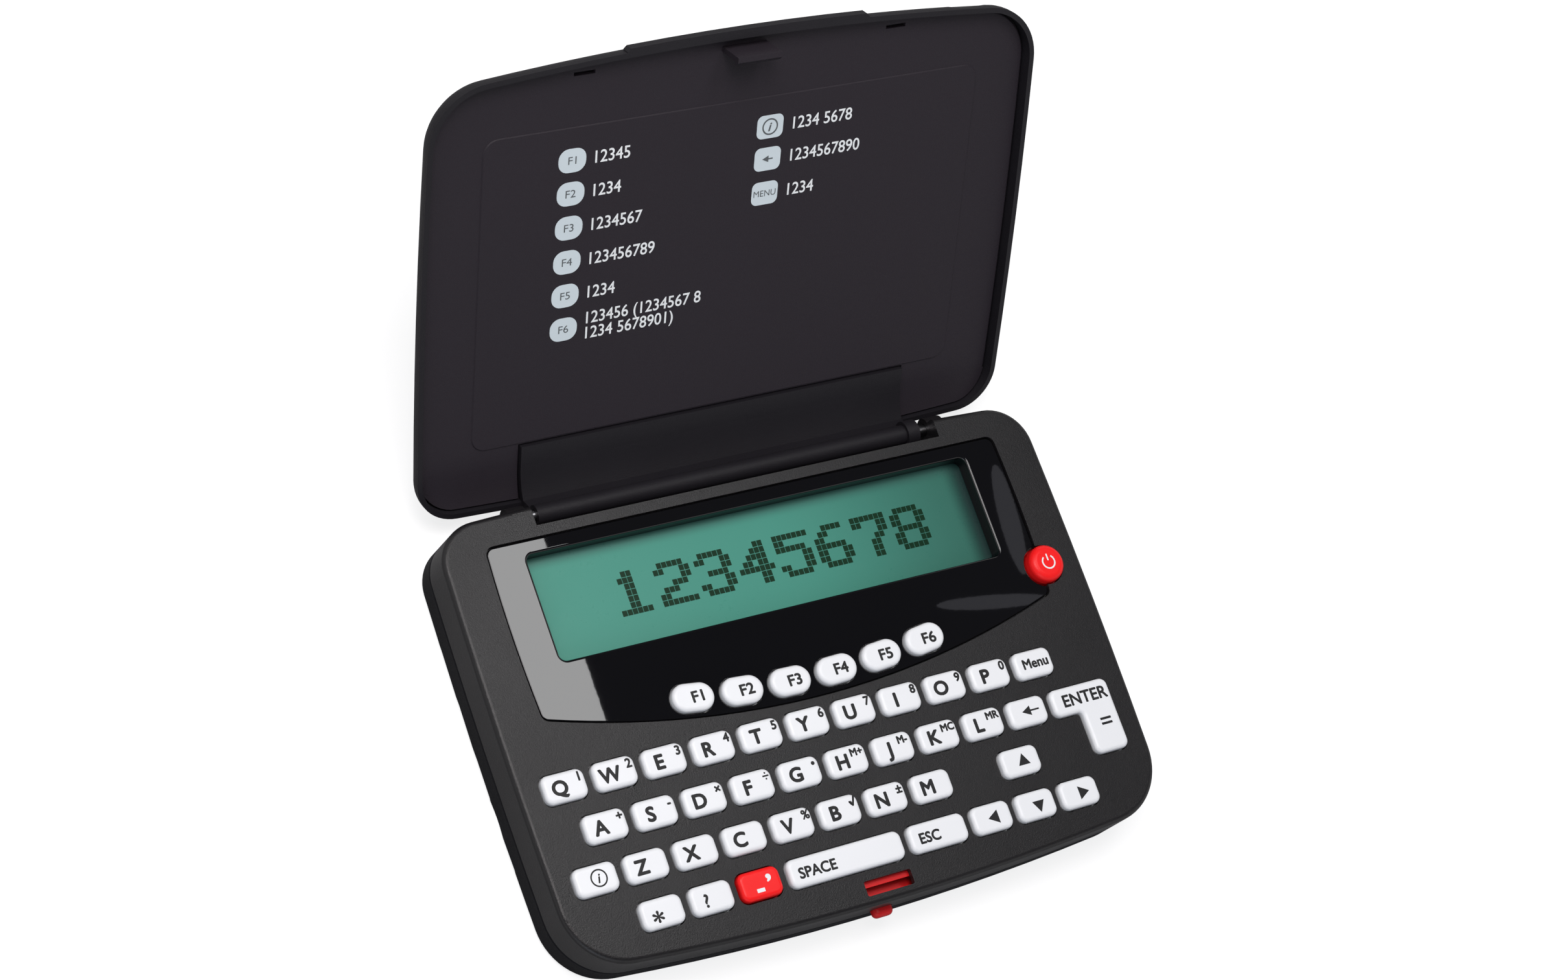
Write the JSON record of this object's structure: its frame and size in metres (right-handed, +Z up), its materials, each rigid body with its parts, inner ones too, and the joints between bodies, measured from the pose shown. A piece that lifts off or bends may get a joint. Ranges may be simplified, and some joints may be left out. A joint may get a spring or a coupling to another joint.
{
  "type": "electronic crossword solver",
  "caption": "Pocket clamshell word-game solver with a letter keyboard, a wide one-line display and a hinged lid held by a sliding latch.",
  "frame": {"origin": "middle of the flat underside of the base", "axes": "+Z up out of the keyboard, +Y from the latch at the front to the hinge at the back, +X to the right of the keyboard"},
  "size_m": [0.1278, 0.151, 0.0716],
  "materials": {
    "case_top": "fine matt texture",
    "case_bottom": "fine matt texture",
    "display_surround": "polished",
    "display_glass": "clear glass over a green display",
    "board": "solder mask",
    "mat": "soft silicone rubber",
    "cell_steel": "plated",
    "contact_brass": "plated",
    "screw_steel": "zinc plated",
    "lid_shell": "fine matt texture",
    "lid_lining": "fine matt texture",
    "pin_steel": "polished",
    "latch_red": "satin",
    "key_white": "satin",
    "key_red": "satin"
  },
  "bodies": {
    "base": {"upper_case": "case_top", "lower_case": "case_bottom", "display_bezel": "display_surround", "lcd_module": "display_glass", "circuit_board": "board", "key_mat": "mat", "battery_door": "case_bottom", "battery_cells": "cell_steel", "battery_contacts": "contact_brass", "case_screws": "screw_steel"},
    "lid": {"lid_outer": "lid_shell", "lid_inner": "lid_lining", "hinge_pins": "pin_steel"},
    "latch": {"latch_slider": "latch_red"},
    "key_q": {"key_q": "key_white"},
    "key_w": {"key_w": "key_white"},
    "key_e": {"key_e": "key_white"},
    "key_r": {"key_r": "key_white"},
    "key_t": {"key_t": "key_white"},
    "key_y": {"key_y": "key_white"},
    "key_u": {"key_u": "key_white"},
    "key_i": {"key_i": "key_white"},
    "key_o": {"key_o": "key_white"},
    "key_p": {"key_p": "key_white"},
    "key_menu": {"key_menu": "key_white"},
    "key_a": {"key_a": "key_white"},
    "key_s": {"key_s": "key_white"},
    "key_d": {"key_d": "key_white"},
    "key_f": {"key_f": "key_white"},
    "key_g": {"key_g": "key_white"},
    "key_h": {"key_h": "key_white"},
    "key_j": {"key_j": "key_white"},
    "key_k": {"key_k": "key_white"},
    "key_l": {"key_l": "key_white"},
    "key_back": {"key_back": "key_white"},
    "key_info": {"key_info": "key_white"},
    "key_z": {"key_z": "key_white"},
    "key_x": {"key_x": "key_white"},
    "key_c": {"key_c": "key_white"},
    "key_v": {"key_v": "key_white"},
    "key_b": {"key_b": "key_white"},
    "key_n": {"key_n": "key_white"},
    "key_m": {"key_m": "key_white"},
    "key_star": {"key_star": "key_white"},
    "key_question": {"key_question": "key_white"},
    "key_hyphen": {"key_hyphen": "key_red"},
    "key_up": {"key_up": "key_white"},
    "key_space": {"key_space": "key_white"},
    "key_escape": {"key_escape": "key_white"},
    "key_left": {"key_left": "key_white"},
    "key_down": {"key_down": "key_white"},
    "key_right": {"key_right": "key_white"},
    "key_enter": {"key_enter": "key_white"},
    "key_f1": {"key_f1": "key_white"},
    "key_f2": {"key_f2": "key_white"},
    "key_f3": {"key_f3": "key_white"},
    "key_f4": {"key_f4": "key_white"},
    "key_f5": {"key_f5": "key_white"},
    "key_f6": {"key_f6": "key_white"},
    "power_button": {"power_button": "key_red"}
  },
  "joints": [
    {"name": "lid_hinge", "type": "hinge", "parent": "base", "child": "lid", "pos_m": [0, 0.04265, 0.0084], "axis": [1, 0, 0], "range_deg": [0, 130.85]},
    {"name": "latch_slide", "type": "slide", "parent": "base", "child": "latch", "axis": [0, 1, 0], "range_m": [0, 0.0011], "stiffness_N_per_m": 500, "springref_m": -0.001},
    {"name": "key_q_press", "type": "slide", "parent": "base", "child": "key_q", "axis": [0, 0, -1], "range_m": [0, 0.001], "stiffness_N_per_m": 500, "springref_m": -0.001, "deforming": ["key_mat"]},
    {"name": "key_w_press", "type": "slide", "parent": "base", "child": "key_w", "axis": [0, 0, -1], "range_m": [0, 0.001], "stiffness_N_per_m": 500, "springref_m": -0.001, "deforming": ["key_mat"]},
    {"name": "key_e_press", "type": "slide", "parent": "base", "child": "key_e", "axis": [0, 0, -1], "range_m": [0, 0.001], "stiffness_N_per_m": 500, "springref_m": -0.001, "deforming": ["key_mat"]},
    {"name": "key_r_press", "type": "slide", "parent": "base", "child": "key_r", "axis": [0, 0, -1], "range_m": [0, 0.001], "stiffness_N_per_m": 500, "springref_m": -0.001, "deforming": ["key_mat"]},
    {"name": "key_t_press", "type": "slide", "parent": "base", "child": "key_t", "axis": [0, 0, -1], "range_m": [0, 0.001], "stiffness_N_per_m": 500, "springref_m": -0.001, "deforming": ["key_mat"]},
    {"name": "key_y_press", "type": "slide", "parent": "base", "child": "key_y", "axis": [0, 0, -1], "range_m": [0, 0.001], "stiffness_N_per_m": 500, "springref_m": -0.001, "deforming": ["key_mat"]},
    {"name": "key_u_press", "type": "slide", "parent": "base", "child": "key_u", "axis": [0, 0, -1], "range_m": [0, 0.001], "stiffness_N_per_m": 500, "springref_m": -0.001, "deforming": ["key_mat"]},
    {"name": "key_i_press", "type": "slide", "parent": "base", "child": "key_i", "axis": [0, 0, -1], "range_m": [0, 0.001], "stiffness_N_per_m": 500, "springref_m": -0.001, "deforming": ["key_mat"]},
    {"name": "key_o_press", "type": "slide", "parent": "base", "child": "key_o", "axis": [0, 0, -1], "range_m": [0, 0.001], "stiffness_N_per_m": 500, "springref_m": -0.001, "deforming": ["key_mat"]},
    {"name": "key_p_press", "type": "slide", "parent": "base", "child": "key_p", "axis": [0, 0, -1], "range_m": [0, 0.001], "stiffness_N_per_m": 500, "springref_m": -0.001, "deforming": ["key_mat"]},
    {"name": "key_menu_press", "type": "slide", "parent": "base", "child": "key_menu", "axis": [0, 0, -1], "range_m": [0, 0.001], "stiffness_N_per_m": 500, "springref_m": -0.001, "deforming": ["key_mat"]},
    {"name": "key_a_press", "type": "slide", "parent": "base", "child": "key_a", "axis": [0, 0, -1], "range_m": [0, 0.001], "stiffness_N_per_m": 500, "springref_m": -0.001, "deforming": ["key_mat"]},
    {"name": "key_s_press", "type": "slide", "parent": "base", "child": "key_s", "axis": [0, 0, -1], "range_m": [0, 0.001], "stiffness_N_per_m": 500, "springref_m": -0.001, "deforming": ["key_mat"]},
    {"name": "key_d_press", "type": "slide", "parent": "base", "child": "key_d", "axis": [0, 0, -1], "range_m": [0, 0.001], "stiffness_N_per_m": 500, "springref_m": -0.001, "deforming": ["key_mat"]},
    {"name": "key_f_press", "type": "slide", "parent": "base", "child": "key_f", "axis": [0, 0, -1], "range_m": [0, 0.001], "stiffness_N_per_m": 500, "springref_m": -0.001, "deforming": ["key_mat"]},
    {"name": "key_g_press", "type": "slide", "parent": "base", "child": "key_g", "axis": [0, 0, -1], "range_m": [0, 0.001], "stiffness_N_per_m": 500, "springref_m": -0.001, "deforming": ["key_mat"]},
    {"name": "key_h_press", "type": "slide", "parent": "base", "child": "key_h", "axis": [0, 0, -1], "range_m": [0, 0.001], "stiffness_N_per_m": 500, "springref_m": -0.001, "deforming": ["key_mat"]},
    {"name": "key_j_press", "type": "slide", "parent": "base", "child": "key_j", "axis": [0, 0, -1], "range_m": [0, 0.001], "stiffness_N_per_m": 500, "springref_m": -0.001, "deforming": ["key_mat"]},
    {"name": "key_k_press", "type": "slide", "parent": "base", "child": "key_k", "axis": [0, 0, -1], "range_m": [0, 0.001], "stiffness_N_per_m": 500, "springref_m": -0.001, "deforming": ["key_mat"]},
    {"name": "key_l_press", "type": "slide", "parent": "base", "child": "key_l", "axis": [0, 0, -1], "range_m": [0, 0.001], "stiffness_N_per_m": 500, "springref_m": -0.001, "deforming": ["key_mat"]},
    {"name": "key_back_press", "type": "slide", "parent": "base", "child": "key_back", "axis": [0, 0, -1], "range_m": [0, 0.001], "stiffness_N_per_m": 500, "springref_m": -0.001, "deforming": ["key_mat"]},
    {"name": "key_info_press", "type": "slide", "parent": "base", "child": "key_info", "axis": [0, 0, -1], "range_m": [0, 0.001], "stiffness_N_per_m": 500, "springref_m": -0.001, "deforming": ["key_mat"]},
    {"name": "key_z_press", "type": "slide", "parent": "base", "child": "key_z", "axis": [0, 0, -1], "range_m": [0, 0.001], "stiffness_N_per_m": 500, "springref_m": -0.001, "deforming": ["key_mat"]},
    {"name": "key_x_press", "type": "slide", "parent": "base", "child": "key_x", "axis": [0, 0, -1], "range_m": [0, 0.001], "stiffness_N_per_m": 500, "springref_m": -0.001, "deforming": ["key_mat"]},
    {"name": "key_c_press", "type": "slide", "parent": "base", "child": "key_c", "axis": [0, 0, -1], "range_m": [0, 0.001], "stiffness_N_per_m": 500, "springref_m": -0.001, "deforming": ["key_mat"]},
    {"name": "key_v_press", "type": "slide", "parent": "base", "child": "key_v", "axis": [0, 0, -1], "range_m": [0, 0.001], "stiffness_N_per_m": 500, "springref_m": -0.001, "deforming": ["key_mat"]},
    {"name": "key_b_press", "type": "slide", "parent": "base", "child": "key_b", "axis": [0, 0, -1], "range_m": [0, 0.001], "stiffness_N_per_m": 500, "springref_m": -0.001, "deforming": ["key_mat"]},
    {"name": "key_n_press", "type": "slide", "parent": "base", "child": "key_n", "axis": [0, 0, -1], "range_m": [0, 0.001], "stiffness_N_per_m": 500, "springref_m": -0.001, "deforming": ["key_mat"]},
    {"name": "key_m_press", "type": "slide", "parent": "base", "child": "key_m", "axis": [0, 0, -1], "range_m": [0, 0.001], "stiffness_N_per_m": 500, "springref_m": -0.001, "deforming": ["key_mat"]},
    {"name": "key_star_press", "type": "slide", "parent": "base", "child": "key_star", "axis": [0, 0, -1], "range_m": [0, 0.001], "stiffness_N_per_m": 500, "springref_m": -0.001, "deforming": ["key_mat"]},
    {"name": "key_question_press", "type": "slide", "parent": "base", "child": "key_question", "axis": [0, 0, -1], "range_m": [0, 0.001], "stiffness_N_per_m": 500, "springref_m": -0.001, "deforming": ["key_mat"]},
    {"name": "key_hyphen_press", "type": "slide", "parent": "base", "child": "key_hyphen", "axis": [0, 0, -1], "range_m": [0, 0.001], "stiffness_N_per_m": 500, "springref_m": -0.001, "deforming": ["key_mat"]},
    {"name": "key_up_press", "type": "slide", "parent": "base", "child": "key_up", "axis": [0, 0, -1], "range_m": [0, 0.001], "stiffness_N_per_m": 500, "springref_m": -0.001, "deforming": ["key_mat"]},
    {"name": "key_space_press", "type": "slide", "parent": "base", "child": "key_space", "axis": [0, 0, -1], "range_m": [0, 0.001], "stiffness_N_per_m": 500, "springref_m": -0.001, "deforming": ["key_mat"]},
    {"name": "key_escape_press", "type": "slide", "parent": "base", "child": "key_escape", "axis": [0, 0, -1], "range_m": [0, 0.001], "stiffness_N_per_m": 500, "springref_m": -0.001, "deforming": ["key_mat"]},
    {"name": "key_left_press", "type": "slide", "parent": "base", "child": "key_left", "axis": [0, 0, -1], "range_m": [0, 0.001], "stiffness_N_per_m": 500, "springref_m": -0.001, "deforming": ["key_mat"]},
    {"name": "key_down_press", "type": "slide", "parent": "base", "child": "key_down", "axis": [0, 0, -1], "range_m": [0, 0.001], "stiffness_N_per_m": 500, "springref_m": -0.001, "deforming": ["key_mat"]},
    {"name": "key_right_press", "type": "slide", "parent": "base", "child": "key_right", "axis": [0, 0, -1], "range_m": [0, 0.001], "stiffness_N_per_m": 500, "springref_m": -0.001, "deforming": ["key_mat"]},
    {"name": "key_enter_press", "type": "slide", "parent": "base", "child": "key_enter", "axis": [0, 0, -1], "range_m": [0, 0.001], "stiffness_N_per_m": 500, "springref_m": -0.001, "deforming": ["key_mat"]},
    {"name": "key_f1_press", "type": "slide", "parent": "base", "child": "key_f1", "axis": [0, 0, -1], "range_m": [0, 0.001], "stiffness_N_per_m": 500, "springref_m": -0.001, "deforming": ["key_mat"]},
    {"name": "key_f2_press", "type": "slide", "parent": "base", "child": "key_f2", "axis": [0, 0, -1], "range_m": [0, 0.001], "stiffness_N_per_m": 500, "springref_m": -0.001, "deforming": ["key_mat"]},
    {"name": "key_f3_press", "type": "slide", "parent": "base", "child": "key_f3", "axis": [0, 0, -1], "range_m": [0, 0.001], "stiffness_N_per_m": 500, "springref_m": -0.001, "deforming": ["key_mat"]},
    {"name": "key_f4_press", "type": "slide", "parent": "base", "child": "key_f4", "axis": [0, 0, -1], "range_m": [0, 0.001], "stiffness_N_per_m": 500, "springref_m": -0.001, "deforming": ["key_mat"]},
    {"name": "key_f5_press", "type": "slide", "parent": "base", "child": "key_f5", "axis": [0, 0, -1], "range_m": [0, 0.001], "stiffness_N_per_m": 500, "springref_m": -0.001, "deforming": ["key_mat"]},
    {"name": "key_f6_press", "type": "slide", "parent": "base", "child": "key_f6", "axis": [0, 0, -1], "range_m": [0, 0.001], "stiffness_N_per_m": 500, "springref_m": -0.001, "deforming": ["key_mat"]},
    {"name": "power_button_press", "type": "slide", "parent": "base", "child": "power_button", "axis": [0, 0, -1], "range_m": [0, 0.001], "stiffness_N_per_m": 500, "springref_m": -0.001, "deforming": ["key_mat"]}
  ]
}
